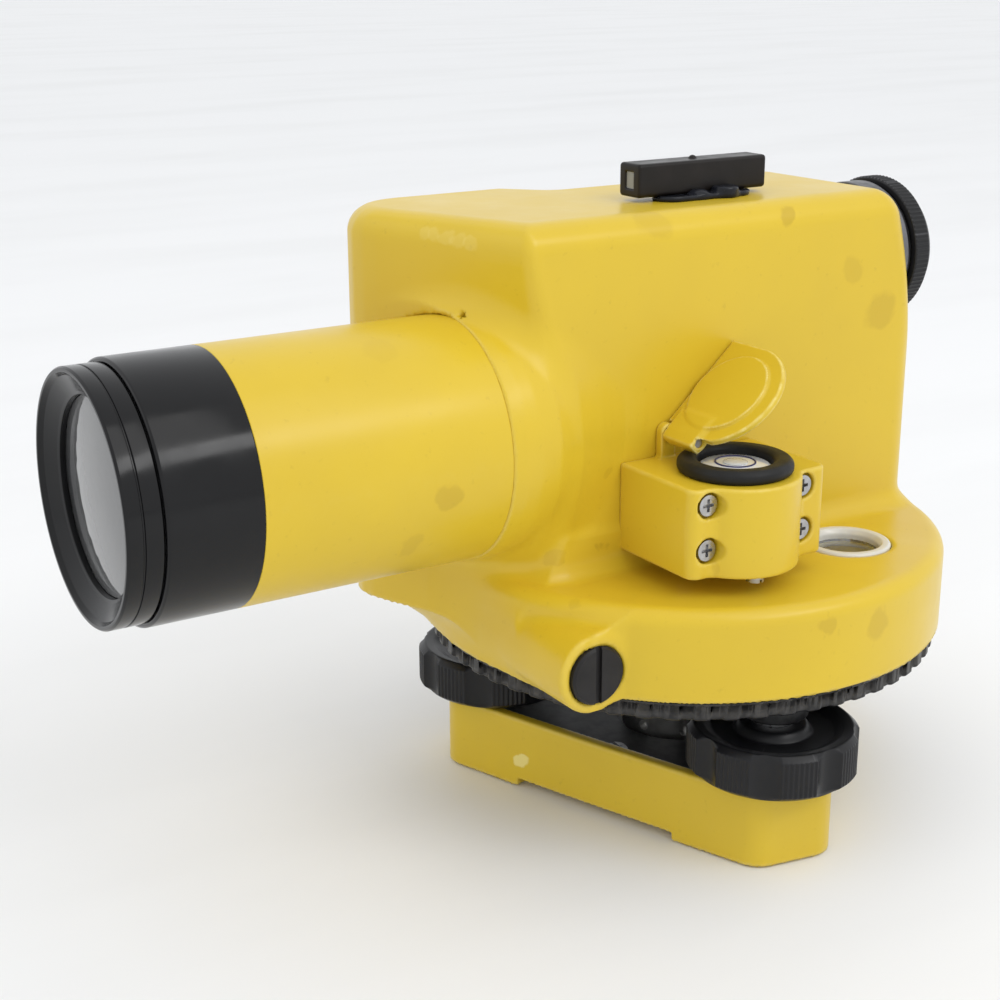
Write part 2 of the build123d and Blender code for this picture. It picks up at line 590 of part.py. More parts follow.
with BuildPart() as vial_bracket:
    with BuildSketch(Plane.XY.offset(BRACKET_BOTTOM)) as bracket_plan:
        with Locations(((BODY_NEAR + BRACKET_FACE) / 2, (BRACKET_FRONT + BRACKET_REAR) / 2)):
            Rectangle(BRACKET_FACE - BODY_NEAR, BRACKET_REAR - BRACKET_FRONT)
        for y in (BRACKET_FRONT, BRACKET_REAR):
            fillet(bracket_plan.vertices().sort_by_distance((BRACKET_FACE, y, 0))[0], 3.0)
        with Locations((VIAL_X, VIAL_Y)):
            Circle(17.5)
    extrude(bracket_plan.sketch, amount=BRACKET_TOP - BRACKET_BOTTOM)
    chamfer(vial_bracket.faces().sort_by(Axis.Z)[-1].edges(), 0.4)
    disc(Plane((VIAL_X, VIAL_Y, 84.4)), 12.5, 20, Mode.SUBTRACT)
    for y in SCREW_COLUMNS:
        for z in SCREW_ROWS:
            disc(facing_x(BODY_NEAR - 1, y, z), 1.6, 40, Mode.SUBTRACT)
            disc(facing_x(BRACKET_FACE - 2.6, y, z), 3.3, 20, Mode.SUBTRACT)
    with BuildSketch(Plane.XY.offset(BRACKET_BOTTOM - 1)) as adjuster_holes:
        with Locations((VIAL_X, VIAL_Y)):
            with PolarLocations(11.6, 3, -10):
                Circle(1.3)
    extrude(adjuster_holes.sketch, amount=10, mode=Mode.SUBTRACT)
    with Locations((BODY_NEAR + 1.5, MIRROR_Y, (BRACKET_TOP + MIRROR_Z) / 2)):
        Box(2.6, 4.4, MIRROR_Z - BRACKET_TOP)
    disc(facing_x(BODY_NEAR + 0.2, MIRROR_Y, MIRROR_Z), 2.2, 2.6)
    disc(facing_x(BODY_NEAR - 1, MIRROR_Y, MIRROR_Z), 1.2, 5, Mode.SUBTRACT)
finish("vial_bracket", vial_bracket)

with BuildPart() as bracket_screws:
    for y in SCREW_COLUMNS:
        for z in SCREW_ROWS:
            disc(facing_x(BODY_NEAR - 4, y, z), 1.6, BRACKET_FACE - BODY_NEAR + 1.4)
            disc(facing_x(BRACKET_FACE - 2.6, y, z), 2.6, 2.0)
            slab(facing_x(BRACKET_FACE - 1.7, y, z), 0.8, 3.2, 4, Mode.SUBTRACT)
            slab(facing_x(BRACKET_FACE - 1.7, y, z), 3.2, 0.8, 4, Mode.SUBTRACT)
finish("bracket_screws", bracket_screws)

with BuildPart() as vial_case:
    turn_z([(0, 84.5), (12.4, 84.5), (12.4, 89.8), (0, 89.8)], x=VIAL_X, y=VIAL_Y)
finish("vial_case", vial_case)

with BuildPart() as vial_ring:
    turn_z([(9.3, 90), (12.4, 90), (12.4, 99.6), (13.9, 99.6), (14.3, 100.2), (14.3, 102.0), (13.4, 103.0),
            (10.2, 103.0), (9.3, 102.2)], x=VIAL_X, y=VIAL_Y)
finish("vial_ring", vial_ring)

with BuildPart() as vial_glass:
    turn_z([(0, 90), (9.2, 90), (9.2, 100.9), (8.6, 101.4), (0, 101.8)], x=VIAL_X, y=VIAL_Y)
finish("vial_glass", vial_glass)

with BuildPart() as vial_screws:
    for angle in (-10, 110, 230):
        x, y = VIAL_X + 11.6 * cos(radians(angle)), VIAL_Y + 11.6 * sin(radians(angle))
        disc(Plane((x, y, BRACKET_BOTTOM - 2.4)), 2.2, 2.4)
        disc(Plane((x, y, BRACKET_BOTTOM)), 1.3, 7.4)
        slab(Plane((x, y, BRACKET_BOTTOM - 3)), 6, 0.7, 1.4, Mode.SUBTRACT)
finish("vial_screws", vial_screws)

mirror_plane = Plane(origin=(0, MIRROR_Y, MIRROR_Z), x_dir=(1, 0, 0),
                     z_dir=(0, -sin(radians(MIRROR_TILT)), cos(radians(MIRROR_TILT))))
MIRROR_ROUND_X = 34.5
MIRROR_ROUND_R = 14.8

with BuildPart() as mirror_plate:
    with BuildSketch(mirror_plane.offset(-0.9)) as plate_outline:
        with Locations(((BODY_NEAR + 0.5 + MIRROR_ROUND_X) / 2, MIRROR_ROUND_R)):
            Rectangle(MIRROR_ROUND_X - BODY_NEAR - 0.5, 2 * MIRROR_ROUND_R)
        with Locations((MIRROR_ROUND_X, MIRROR_ROUND_R)):
            Circle(MIRROR_ROUND_R)
        with Locations((BODY_NEAR + 0.5 - 5, MIRROR_ROUND_R)):
            Rectangle(10, 40, mode=Mode.SUBTRACT)
    extrude(plate_outline.sketch, amount=1.8)
    with BuildSketch(mirror_plane.offset(0.8)) as pad:
        with Locations((MIRROR_ROUND_X - 0.5, MIRROR_ROUND_R)):
            Circle(11.4)
    extrude(pad.sketch, amount=0.9)
    disc(facing_x(BODY_NEAR + 3.2, MIRROR_Y, MIRROR_Z), 2.2, 11.5)
    with BuildSketch(mirror_plane.offset(-4)) as hinge_gap:
        with Locations((BODY_NEAR + 1.3, 0)):
            Rectangle(3.4, 5.6)
    extrude(hinge_gap.sketch, amount=8, mode=Mode.SUBTRACT)
    disc(facing_x(BODY_NEAR, MIRROR_Y, MIRROR_Z), 1.26, 20, Mode.SUBTRACT)
finish("mirror_plate", mirror_plate)

with BuildPart() as mirror_glass:
    with BuildSketch(mirror_plane.offset(-2.1)) as glass_outline:
        with Locations((MIRROR_ROUND_X - 0.5, MIRROR_ROUND_R + 0.6)):
            Circle(12.0)
    extrude(glass_outline.sketch, amount=1.2)
finish("mirror_glass", mirror_glass)

with BuildPart() as mirror_pin:
    disc(facing_x(BODY_NEAR + 0.2, MIRROR_Y, MIRROR_Z), 1.2, 14.2)
finish("mirror_pin", mirror_pin)

# ---------------------------------------------------------------- open sight on the top
SIGHT_Y = (-19.9, 21.0)
SIGHT_HALF = 4.3
SIGHT_BOTTOM = 161.2
SIGHT_TOP = 169.6
SIGHT_MIDDLE = (SIGHT_BOTTOM + SIGHT_TOP) / 2

with BuildPart() as sight_bar:
    with Locations((0, sum(SIGHT_Y) / 2, SIGHT_MIDDLE)):
        Box(2 * SIGHT_HALF, SIGHT_Y[1] - SIGHT_Y[0], SIGHT_TOP - SIGHT_BOTTOM)
    fillet(sight_bar.edges().filter_by(Axis.Y), 0.8)
    slab(facing_y(SIGHT_Y[0] - 1, SIGHT_MIDDLE), 3.4, 4.2, 2.2, Mode.SUBTRACT)
    with Locations((0, 0, SIGHT_TOP)):
        Sphere(0.9)
finish("sight_bar", sight_bar)

with BuildPart() as sight_window:
    slab(facing_y(SIGHT_Y[0] + 0.4, SIGHT_MIDDLE), 3.4, 4.2, 0.8)
finish("sight_window", sight_window)

with BuildPart() as sight_foot:
    with BuildSketch(Plane.XY.offset(BODY_TOP)) as foot_plan:
        with Locations((1.5, 0.5)):
            Ellipse(6.5, 10)
    extrude(foot_plan.sketch, amount=SIGHT_BOTTOM - BODY_TOP)
finish("sight_foot", sight_foot)
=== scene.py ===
"""Looks of the automatic level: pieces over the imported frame, materials, studio and camera."""
import json
import math

import bpy
import numpy as np
from mathutils import Matrix, Vector


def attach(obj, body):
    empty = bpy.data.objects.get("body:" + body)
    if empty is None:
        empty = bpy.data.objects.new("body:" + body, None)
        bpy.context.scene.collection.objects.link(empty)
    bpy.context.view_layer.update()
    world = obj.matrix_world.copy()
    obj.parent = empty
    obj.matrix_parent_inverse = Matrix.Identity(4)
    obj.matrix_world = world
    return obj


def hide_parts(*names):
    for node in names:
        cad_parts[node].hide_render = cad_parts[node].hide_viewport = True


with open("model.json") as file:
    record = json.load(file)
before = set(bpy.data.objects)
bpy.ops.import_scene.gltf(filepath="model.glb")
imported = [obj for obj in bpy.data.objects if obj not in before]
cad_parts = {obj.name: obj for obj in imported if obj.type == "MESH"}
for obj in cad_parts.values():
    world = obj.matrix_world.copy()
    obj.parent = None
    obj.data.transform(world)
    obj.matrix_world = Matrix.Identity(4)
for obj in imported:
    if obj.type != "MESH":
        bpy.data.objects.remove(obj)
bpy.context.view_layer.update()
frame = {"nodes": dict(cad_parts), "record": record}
MM = 0.001

# ---------------------------------------------------------------- driving dimensions (mm, row frame)
BASE_TURN = -9.8
BASE_HEIGHT = 20.4
BASE_SIDE = 41.2
BASE_END = 64.07
SCREW_CIRCLE = 51.5
SCREW_ANGLES = [math.radians(BASE_TURN + 120 * k) for k in range(3)]
SCREW_POINTS = [(SCREW_CIRCLE * math.cos(a), SCREW_CIRCLE * math.sin(a)) for a in SCREW_ANGLES]
FLANGE_R = 70.0
FLANGE_BOTTOM = 48.6
FLANGE_TOP = 72.0
TUBE_Z = 106.7
TUBE_R = 30.4
TUBE_SEAT = -73.7
BARREL_SEAT = -136.4
EYE_Z = 141.0
BODY_TOP = 160.0
BODY_NEAR = 21.5
FRONT_SLOPE = 0.409          # the front face runs forward by this much per mm toward the far side
WALL = 3.5
WORM_Y = -60.0
WORM_Z = 56.5
FOCUS_Y = -45.0
FOCUS_Z = 111.15
COVER_Y = 18.0
COVER_Z = 112.0
VIAL_X = 41.5
VIAL_Y = -16.8
DRUM_R = 15.6
BRACKET_TOP = 99.5
BRACKET_BOTTOM = 77.0
BRACKET_FACE = 51.0
MIRROR_Y = -24.0
MIRROR_Z = 106.0
MIRROR_TILT = math.radians(42.0)
MIRROR_ROUND_X = 34.5
MIRROR_ROUND_R = 14.8
HINGE_START = 24.7
HINGE_END = 36.2
WINDOW_X = 38.2
WINDOW_Y = 24.8
SIGHT_Z = 165.4
SIGHT_FRONT = -19.9
SIGHT_REAR = 21.0
BRACKET_SCREW_Y = (-32.0, -2.5)
BRACKET_SCREW_Z = (95.3, 84.0)


# ---------------------------------------------------------------- distance fields for the cast pieces
def round_join(a, b, radius):
    """Union of two distance fields with a hollow fillet between them."""
    away = np.maximum(radius - a, 0) ** 2 + np.maximum(radius - b, 0) ** 2
    return np.maximum(radius, np.minimum(a, b)) - np.sqrt(away)


def round_meet(a, b, radius):
    """Intersection of two distance fields with a rounded edge."""
    inside = np.maximum(radius + a, 0) ** 2 + np.maximum(radius + b, 0) ** 2
    return np.minimum(-radius, np.maximum(a, b)) + np.sqrt(inside)


def cut(a, hole, radius=0.0):
    """Takes a hole out of a distance field, its edge rounded if a radius is given."""
    return round_meet(a, -hole, radius) if radius else np.maximum(a, -hole)


def polygon_field(u, v, points):
    """Signed distance to a polygon in a plane."""
    best = np.full(np.broadcast(u, v).shape, 1e9)
    inside = np.zeros(best.shape, bool)
    for (ua, va), (ub, vb) in zip(points, points[1:] + points[:1]):
        eu, ev = ub - ua, vb - va
        t = np.clip(((u - ua) * eu + (v - va) * ev) / (eu * eu + ev * ev), 0, 1)
        best = np.minimum(best, (u - ua - t * eu) ** 2 + (v - va - t * ev) ** 2)
        if ev:
            inside ^= ((va > v) != (vb > v)) & (u < ua + (v - va) * eu / ev)
    return np.where(inside, -1.0, 1.0) * np.sqrt(best)


def rounded(corners, steps=8):
    """Polygon points with each corner (point, radius) replaced by its arc."""
    points = []
    count = len(corners)
    for k, (corner, radius) in enumerate(corners):
        here = Vector(corner)
        back = (Vector(corners[k - 1][0]) - here).normalized()
        ahead = (Vector(corners[(k + 1) % count][0]) - here).normalized()
        half = back.angle(ahead) / 2
        if radius <= 0 or half > math.radians(89.5):
            points.append(tuple(here))
            continue
        centre = here + (back + ahead).normalized() * (radius / math.sin(half))
        first = here + back * (radius / math.tan(half)) - centre
        sweep = first.angle_signed(here + ahead * (radius / math.tan(half)) - centre)
        for s in range(steps + 1):
            a = -sweep * s / steps
            points.append((centre.x + first.x * math.cos(a) - first.y * math.sin(a),
                           centre.y + first.x * math.sin(a) + first.y * math.cos(a)))
    return points


def band(value, low, high):
    """Distance field of the slab low <= value <= high."""
    return np.maximum(low - value, value - high)


def net(name, field, low, high, step, passes=3):
    """Mesh of a distance field: a surface net whose vertices are then drawn onto the surface."""
    axes = [np.arange(low[i] - step, high[i] + 2 * step, step) for i in range(3)]
    gx, gy, gz = axes[0][:, None, None], axes[1][None, :, None], axes[2][None, None, :]
    values = np.broadcast_to(field(gx, gy, gz), tuple(len(a) for a in axes))
    values = np.where(np.abs(values) < 1e-9, 1e-9, values)
    shape = tuple(n - 1 for n in values.shape)
    total = np.zeros(shape + (3,))
    count = np.zeros(shape)
    corners = [(0, 0, 0), (1, 0, 0), (0, 1, 0), (1, 1, 0), (0, 0, 1), (1, 0, 1), (0, 1, 1), (1, 1, 1)]
    view = {c: values[c[0]:c[0] + shape[0], c[1]:c[1] + shape[1], c[2]:c[2] + shape[2]] for c in corners}
    for a in corners:
        for axis in range(3):
            if a[axis]:
                continue
            b = tuple(a[i] + (i == axis) for i in range(3))
            va, vb = view[a], view[b]
            crossed = (va < 0) != (vb < 0)
            share = np.where(crossed, va / np.where(crossed, va - vb, 1), 0)
            for i in range(3):
                total[..., i] += np.where(crossed, a[i] + (share if i == axis else 0), 0)
            count += crossed
    used = count > 0
    index = np.full(shape, -1, np.int64)
    index[used] = np.arange(used.sum())
    cells = np.argwhere(used)
    points = (total[used] / count[used][:, None] + cells) * step + np.array([a[0] for a in axes])
    faces = []
    for axis in range(3):
        u, v = (axis + 1) % 3, (axis + 2) % 3
        lead = [slice(1, -1)] * 3
        lead[axis] = slice(0, -1)
        after = list(lead)
        after[axis] = slice(1, None)
        va, vb = values[tuple(lead)], values[tuple(after)]
        rising = np.argwhere((va < 0) & (vb >= 0))
        falling = np.argwhere((va >= 0) & (vb < 0))
        for found, flip in ((rising, False), (falling, True)):
            base = found + np.array([0 if i == axis else 1 for i in range(3)])
            ring = []
            for du, dv in ((1, 1), (0, 1), (0, 0), (1, 0)):
                cell = base.copy()
                cell[:, u] -= du
                cell[:, v] -= dv
                ring.append(index[cell[:, 0], cell[:, 1], cell[:, 2]])
            quads = np.stack(ring, 1)
            faces.append(quads[:, ::-1] if flip else quads)
    faces = np.concatenate(faces)
    nudge = 0.05
    for _ in range(passes):
        x, y, z = points.T
        here = field(x, y, z)
        slope = np.stack([field(x + nudge, y, z) - field(x - nudge, y, z),
                          field(x, y + nudge, z) - field(x, y - nudge, z),
                          field(x, y, z + nudge) - field(x, y, z - nudge)], 1) / (2 * nudge)
        size = np.maximum((slope ** 2).sum(1), 0.25)
        move = -slope * (here / size)[:, None]
        length = np.linalg.norm(move, axis=1, keepdims=True)
        points = points + move * np.minimum(1, 0.35 * step / np.maximum(length, 1e-9))
    return solid(name, points * MM, faces)


# ---------------------------------------------------------------- meshes
def solid(name, points, faces, smooth=True):
    """An object from points in metres and faces."""
    mesh = bpy.data.meshes.new(name)
    mesh.from_pydata([tuple(map(float, p)) for p in points], [], [tuple(map(int, f)) for f in faces])
    mesh.validate()
    mesh.polygons.foreach_set("use_smooth", [smooth] * len(mesh.polygons))
    mesh.update()
    piece = bpy.data.objects.new(name, mesh)
    bpy.context.scene.collection.objects.link(piece)
    return piece


def eased(profile, radius=0.35, closed=True):
    """A profile with its corners eased by short curves; a corner may give its own radius as a third value."""
    points = [tuple(p) if len(p) == 3 else (p[0], p[1], radius) for p in profile]
    out = []
    count = len(points)
    for k, (a, r, ease) in enumerate(points):
        here = Vector((a, r))
        before = Vector(points[k - 1][:2]) - here
        after = Vector(points[(k + 1) % count][:2]) - here
        if not closed and k in (0, count - 1):
            out.append((a, r))
            continue
        reach = min(ease, 0.42 * before.length, 0.42 * after.length)
        start, end = here + before.normalized() * reach, here + after.normalized() * reach
        for t in (0.0, 0.25, 0.5, 0.75, 1.0):
            p = start * (1 - t) ** 2 + here * 2 * t * (1 - t) + end * t * t
            out.append((p.x, p.y))
    return out


def turned(name, profile, axis, centre, steps=128, ease=0.35, ripple=None, closed=True):
    """Turned piece from (along, radius) corners. ripple(angle, along, radius) gives the radius all round."""
    outline = eased(profile, ease, closed)
    angles = np.arange(steps) * 2 * math.pi / steps
    points = []
    for along, radius in outline:
        ring = np.full(steps, radius) if ripple is None else ripple(angles, along, radius)
        c, s = ring * np.cos(angles), ring * np.sin(angles)
        flat = np.full(steps, along)
        columns = {"x": (flat, centre[0] + c, centre[1] + s), "y": (centre[0] - c, flat, centre[1] + s),
                   "z": (centre[0] + c, centre[1] + s, flat)}[axis]
        points.append(np.stack(columns, 1))
    points = np.concatenate(points) * MM
    rows = len(outline)
    faces = []
    for i in range(rows if closed else rows - 1):
        j = (i + 1) % rows
        for k in range(steps):
            m = (k + 1) % steps
            faces.append((i * steps + k, i * steps + m, j * steps + m, j * steps + k))
    return face_out(solid(name, points, faces))


def face_out(piece):
    """Turns the faces so that the closed mesh has a positive volume."""
    mesh = piece.data
    volume = 0.0
    co = [v.co for v in mesh.vertices]
    for polygon in mesh.polygons:
        a = co[polygon.vertices[0]]
        for b, c in zip(polygon.vertices[1:-1], polygon.vertices[2:]):
            volume += a.dot(co[b].cross(co[c]))
    if volume < 0:
        mesh.flip_normals()
    return piece


def place(piece, body, nodes, material):
    """Gives a piece its body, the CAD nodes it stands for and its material."""
    piece.data.materials.clear()
    piece.data.materials.append(material)
    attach(piece, body)
    if nodes:
        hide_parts(*nodes)
    return piece


# ---------------------------------------------------------------- materials
class Look:
    """A Principled material with short calls to add procedural detail in the object's own coordinates."""

    def __init__(self, name, colour, roughness, metallic=0.0, **sockets):
        self.material = bpy.data.materials.new(name)
        self.material.use_nodes = True
        self.tree = self.material.node_tree
        self.shader = self.tree.nodes["Principled BSDF"]
        self.shader.inputs["Base Color"].default_value = (*colour, 1)
        self.shader.inputs["Roughness"].default_value = roughness
        self.shader.inputs["Metallic"].default_value = metallic
        for socket, value in sockets.items():
            self.shader.inputs[socket.replace("_", " ")].default_value = value
        self.where = self.tree.nodes.new("ShaderNodeTexCoord").outputs["Object"]

    def node(self, kind, inputs=(), **settings):
        made = self.tree.nodes.new(kind)
        for key, value in settings.items():
            setattr(made, key, value)
        for key, value in dict(inputs).items():
            if isinstance(value, bpy.types.NodeSocket):
                self.tree.links.new(value, made.inputs[key])
            else:
                made.inputs[key].default_value = value
        return made

    def noise(self, size_mm, detail=3.0, stretch=(1, 1, 1)):
        """Noise whose grains are about size_mm across."""
        scaled = self.node("ShaderNodeVectorMath", {0: self.where, 1: stretch}, operation="MULTIPLY")
        grain = {"Vector": scaled.outputs[0], "Scale": 1 / (size_mm * MM),
                 "Detail": detail, "Roughness": 0.55}
        return self.node("ShaderNodeTexNoise", grain).outputs[0]

    def spread(self, value, low, high, out_low=0.0, out_high=1.0):
        """Stretches low..high to out_low..out_high."""
        limits = {0: value, 1: low, 2: high, 3: out_low, 4: out_high}
        return self.node("ShaderNodeMapRange", limits).outputs[0]

    def times(self, a, b):
        return self.node("ShaderNodeMath", {0: a, 1: b}, operation="MULTIPLY").outputs[0]

    def mix(self, share, a, b):
        made = self.node("ShaderNodeMix", data_type="RGBA")
        for key, value in ((0, share), (6, a), (7, b)):
            if isinstance(value, bpy.types.NodeSocket):
                self.tree.links.new(value, made.inputs[key])
            else:
                made.inputs[key].default_value = value if key == 0 else (*value, 1)
        return made.outputs[2]

    def paint(self, colour):
        self.tree.links.new(colour, self.shader.inputs["Base Color"])

    def rough(self, value):
        self.tree.links.new(value, self.shader.inputs["Roughness"])

    def bump(self, height, depth_mm, strength=1.0, under=None):
        inputs = {"Height": height, "Distance": depth_mm * MM, "Strength": strength}
        if under is not None:
            inputs["Normal"] = under
        made = self.node("ShaderNodeBump", inputs).outputs[0]
        self.tree.links.new(made, self.shader.inputs["Normal"])
        return made

    def worn_edges(self, base, colour, low=0.53, high=0.6, amount=0.8):
        """Colour that shows through on sharp outer edges."""
        edge = self.node("ShaderNodeNewGeometry").outputs["Pointiness"]
        share = self.times(self.spread(edge, low, high), self.spread(self.noise(3.0), 0.35, 0.6, 0.1, amount))
        return self.mix(share, base, colour)


PAINT = (0.700, 0.492, 0.026)
PAINT_DULL = (0.600, 0.412, 0.030)
PAINT_WORN = (0.900, 0.780, 0.300)
SMUDGE = (0.430, 0.270, 0.014)


def painted(name, smudges=(), worn=(), rubbed=0.25):
    """Satin yellow enamel over a casting. smudges and worn are (x, y, z, radius) in mm and a strength;
    rubbed is how strongly the paint has worn at sharp edges."""
    look = Look(name, PAINT, 0.40, Coat_Weight=0.45, Coat_Roughness=0.3, Specular_IOR_Level=0.2)
    broad = look.spread(look.noise(38), 0.35, 0.7)
    base = look.mix(look.times(broad, 0.35), PAINT, PAINT_DULL)
    specks = look.spread(look.noise(2.2, 5), 0.64, 0.76, 0.0, 0.22)
    base = look.mix(specks, base, SMUDGE)
    wobble = look.node("ShaderNodeTexNoise", {"Vector": look.where, "Scale": 130.0, "Detail": 5.0}).outputs[1]
    shift = look.node("ShaderNodeVectorMath", {0: wobble, 1: (0.5, 0.5, 0.5)}, operation="SUBTRACT")
    shift = look.node("ShaderNodeVectorMath", {0: shift.outputs[0], "Scale": 0.0075}, operation="SCALE")
    wavy = look.node("ShaderNodeVectorMath", {0: look.where, 1: shift.outputs[0]}, operation="ADD").outputs[0]
    for spots, colour in ((smudges, SMUDGE), (worn, PAINT_WORN)):
        for x, y, z, radius, strength in spots:
            away = look.node("ShaderNodeVectorMath", {0: wavy, 1: (x * MM, y * MM, z * MM)},
                             operation="DISTANCE").outputs["Value"]
            share = look.spread(away, radius * MM * 0.8, radius * MM * 0.6, 0.0, strength)
            base = look.mix(share, base, colour)
    look.paint(look.worn_edges(base, PAINT_WORN, 0.515, 0.56, rubbed))
    look.rough(look.spread(look.noise(14, 4), 0.3, 0.7, 0.32, 0.44))
    cast = look.bump(look.noise(9, 2), 0.10, 0.5)
    look.bump(look.noise(0.9, 2), 0.018, 0.55, cast)
    return look.material


def blackened(name, colour=(0.006, 0.006, 0.0065), roughness=0.30, stretch=(1, 1, 1), edge=(0.10, 0.10, 0.10),
              depth=0.006):
    """Black anodised or blackened metal with worn edges."""
    look = Look(name, colour, roughness, Specular_IOR_Level=0.3)
    faded = tuple(1.9 * c for c in colour)
    base = look.mix(look.spread(look.noise(16, 4), 0.4, 0.75, 0.0, 0.5), colour, faded)
    look.paint(look.worn_edges(base, edge, 0.55, 0.66, 0.7))
    look.rough(look.spread(look.noise(9, 2), 0.3, 0.7, roughness - 0.04, roughness + 0.06))
    look.bump(look.noise(0.5, 3, stretch), depth, 0.5)
    return look.material


def bare_metal(name, colour, roughness, stretch=(1, 1, 1)):
    """Turned or brushed metal with fine grain."""
    look = Look(name, colour, roughness, 1.0)
    base = look.mix(look.spread(look.noise(6, 4), 0.35, 0.7), colour, tuple(0.72 * c for c in colour))
    look.paint(base)
    look.rough(look.spread(look.noise(1.5, 4, stretch), 0.3, 0.7, roughness - 0.08, roughness + 0.14))
    look.bump(look.noise(0.7, 3, stretch), 0.006, 0.5)
    return look.material


def plastic(name, colour, roughness, depth=0.012):
    """Moulded plastic or rubber with a fine grain."""
    look = Look(name, colour, roughness, Specular_IOR_Level=0.25)
    faded = tuple(min(1, 1.5 * c) for c in colour)
    look.paint(look.mix(look.spread(look.noise(7, 4), 0.35, 0.7), colour, faded))
    look.rough(look.spread(look.noise(4, 3), 0.3, 0.7, roughness - 0.06, roughness + 0.08))
    look.bump(look.noise(0.6, 3), depth, 0.6)
    return look.material


def glassy(name, colour, roughness=0.02, transmission=1.0, ior=1.5, coat=0.0):
    """Clear or milky glass, plastic or fluid."""
    look = Look(name, colour, roughness, Transmission_Weight=transmission, IOR=ior, Coat_Weight=coat)
    look.paint(look.mix(look.spread(look.noise(11, 3), 0.35, 0.7), colour, tuple(0.96 * c for c in colour)))
    look.rough(look.spread(look.noise(3, 3), 0.3, 0.7, roughness, roughness + 0.02))
    return look.material


def graduated():
    """Circle scale: satin plate with degree marks round the axis."""
    look = Look("scale_metal", (0.80, 0.79, 0.74), 0.4, 0.6)
    split = look.node("ShaderNodeSeparateXYZ", {0: look.where})
    angle = look.node("ShaderNodeMath", {0: split.outputs[1], 1: split.outputs[0]}, operation="ARCTAN2")
    ticks = look.times(angle.outputs[0], 180 / math.pi)
    phase = look.node("ShaderNodeMath", {0: ticks}, operation="FRACT").outputs[0]
    mark = look.node("ShaderNodeMath", {0: phase, 1: 0.16}, operation="LESS_THAN").outputs[0]
    look.paint(look.mix(mark, (0.80, 0.79, 0.74), (0.03, 0.03, 0.03)))
    look.bump(look.noise(0.6, 2), 0.005, 0.4)
    return look.material


BODY_SMUDGES = [(21.5, 37.6, 140.2, 5.2, 0.22), (21.5, 48.3, 128.3, 7.5, 0.30),
                (19.5, 15.0, 155.5, 4.2, 0.42), (19.5, -26.4, 158.7, 7.5, 0.20),
                (20.5, -60.5, 99.9, 5.0, 0.36), (21.5, -42.7, 78.9, 2.6, 0.40),
                (69.4, -9.0, 66.4, 3.8, 0.30), (69.7, 6.7, 63.1, 5.5, 0.30), (21.5, -56.0, 78.0, 3.0, 0.22),
                (21.5, -41.5, 98.0, 2.4, 0.24), (34.0, -58.0, 70.0, 2.6, 0.2)]
BODY_WORN = [(-7.0 + 3.2 * k, -75.4 + 1.3 * k, 155.4, 3.2, 0.13) for k in range(5)]
TUBE_SMUDGES = [(30.1, -90.9, 102.8, 5.0, 0.34), (26.1, -99.3, 91.1, 4.4, 0.22),
                (13.0, -98.8, 134.2, 6.0, 0.08)]
BASE_CHIPS = [(-8.0, -46.8, 8.0, 3.0, 0.75)]

LOOKS = {
    "yellow_paint": painted("yellow_paint", rubbed=0.0),
    "black_anodised": blackened("black_anodised"),
    "black_plastic": plastic("black_plastic", (0.014, 0.013, 0.013), 0.42),
    "black_rubber": plastic("black_rubber", (0.010, 0.010, 0.010), 0.5, 0.02),
    "steel": bare_metal("steel", (0.52, 0.52, 0.53), 0.30),
    "black_steel": blackened("black_steel", (0.02, 0.02, 0.021), 0.38),
    "brass": bare_metal("brass", (0.66, 0.47, 0.19), 0.30),
    "aluminium": bare_metal("aluminium", (0.66, 0.65, 0.63), 0.34, (1, 1, 0.12)),
    "grey_metal": bare_metal("grey_metal", (0.20, 0.20, 0.21), 0.36),
    "optical_glass": glassy("optical_glass", (0.93, 0.97, 0.98)),
    "mirror_glass": bare_metal("mirror_glass", (0.92, 0.93, 0.93), 0.09),
    "scale_metal": graduated(),
}
for part in frame["record"]["subparts"]:
    node = frame["nodes"][part["node"]]
    node.data.materials.clear()
    node.data.materials.append(LOOKS[part["material_slot"]])

pane = frame["nodes"]["sight_window"]
pane.data.materials.clear()
pane.data.materials.append(glassy("frosted_pane", (0.30, 0.31, 0.31), 0.35, 0.1))

# ---------------------------------------------------------------- upper casting
BODY_PLAN = rounded([((BODY_NEAR, -64.5), 4.0), ((-46.0, -92.1), 18.0), ((-46.0, -31.0), 4.0),
                     ((-35.0, -21.0), 4.0), ((-35.0, 64.0), 18.0), ((BODY_NEAR, 64.0), 8.0)])
FAIRING = [(-66, 64), (-60, 66.5), (-52, 80), (-30, 80), (-30, 56), (-62, 56)]
SHELF = [(-63, 60), (-60, 66.5), (-50, 69.6), (-40, 69.6), (-40, 56), (-62, 56)]
SLANT = (math.cos(math.atan2(12.4, 41.0)), math.sin(math.atan2(12.4, 41.0)))


